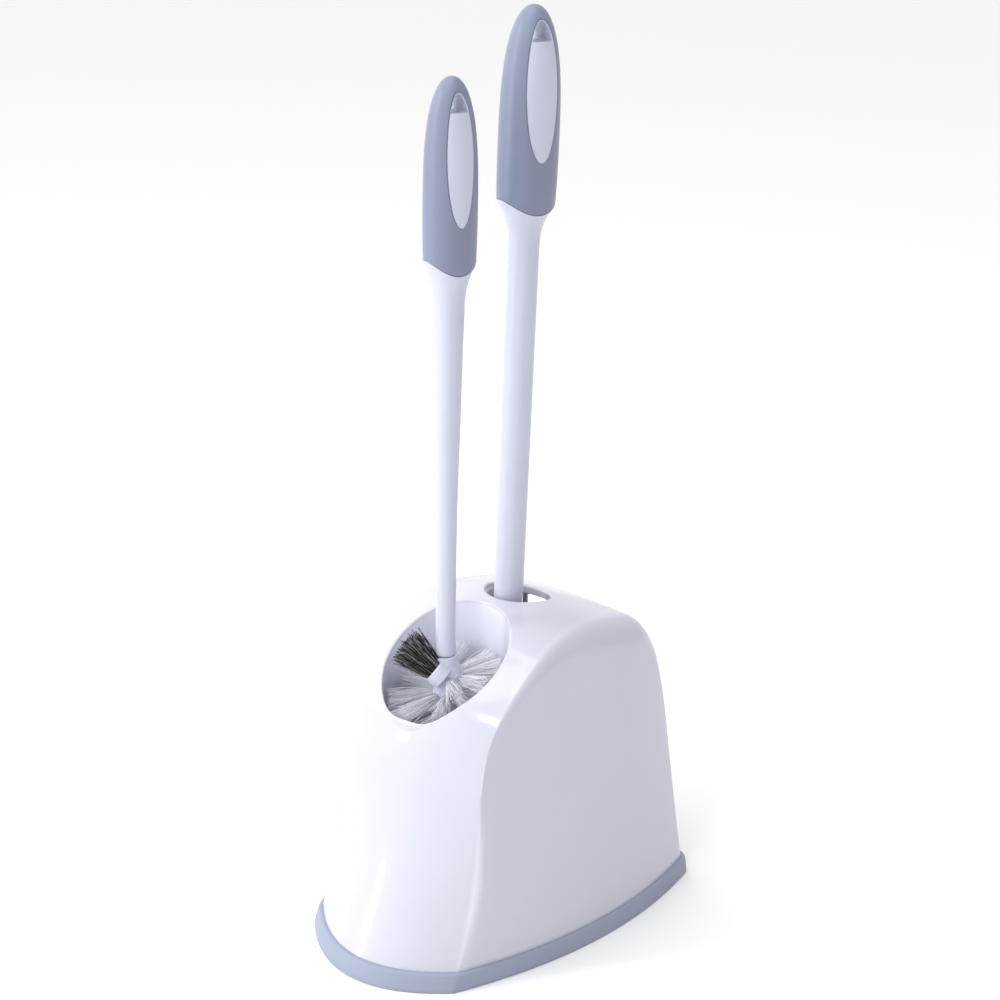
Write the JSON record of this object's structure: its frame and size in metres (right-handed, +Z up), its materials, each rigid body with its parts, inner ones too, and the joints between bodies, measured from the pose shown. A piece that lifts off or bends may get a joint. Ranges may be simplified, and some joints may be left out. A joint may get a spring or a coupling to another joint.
{
  "type": "toilet brush holder",
  "caption": "Toilet brush and plunger caddy: arched white hood on a soft grey foot trim, brush in a front cup, long-handled plunger through a ring hole, grey sleeve grips.",
  "frame": {"origin": "on the floor, in the middle of the set's bounding box", "axes": "+Z up along the handles, -Y towards the brush side, +X across the caddy's width"},
  "size_m": [0.1858, 0.2494, 0.5797],
  "materials": {
    "white_shell": "glossy white injection-moulded plastic with a faint cool tint",
    "white_plastic": "smooth semi-gloss white plastic",
    "grey_grip": "soft satin blue-grey overmoulded grip",
    "grey_trim": "matte blue-grey soft trim",
    "cup_rubber": "matte dark rubber",
    "white_bristle": "white nylon filaments",
    "dark_bristle": "mixed dark and light grey nylon filaments"
  },
  "bodies": {
    "plunger": {"plunger_handle": "white_plastic", "plunger_grip": "grey_grip", "plunger_cup": "cup_rubber"},
    "caddy": {"caddy_shell": "white_shell", "brush_well": "white_shell", "base_trim": "grey_trim"},
    "brush": {"brush_handle": "white_plastic", "brush_grip": "grey_grip", "brush_hub": "white_plastic", "tufts_lower": "white_bristle", "tufts_middle": "white_bristle", "tufts_upper": "white_bristle", "rim_tuft": "dark_bristle"}
  },
  "joints": [
    {"name": "caddy_lift", "type": "slide", "parent": "plunger", "child": "caddy", "axis": [0, 0, 1], "range_m": [0, 0.42]},
    {"name": "brush_lift", "type": "slide", "parent": "caddy", "child": "brush", "axis": [0, 0, 1], "range_m": [0, 0.3]}
  ]
}
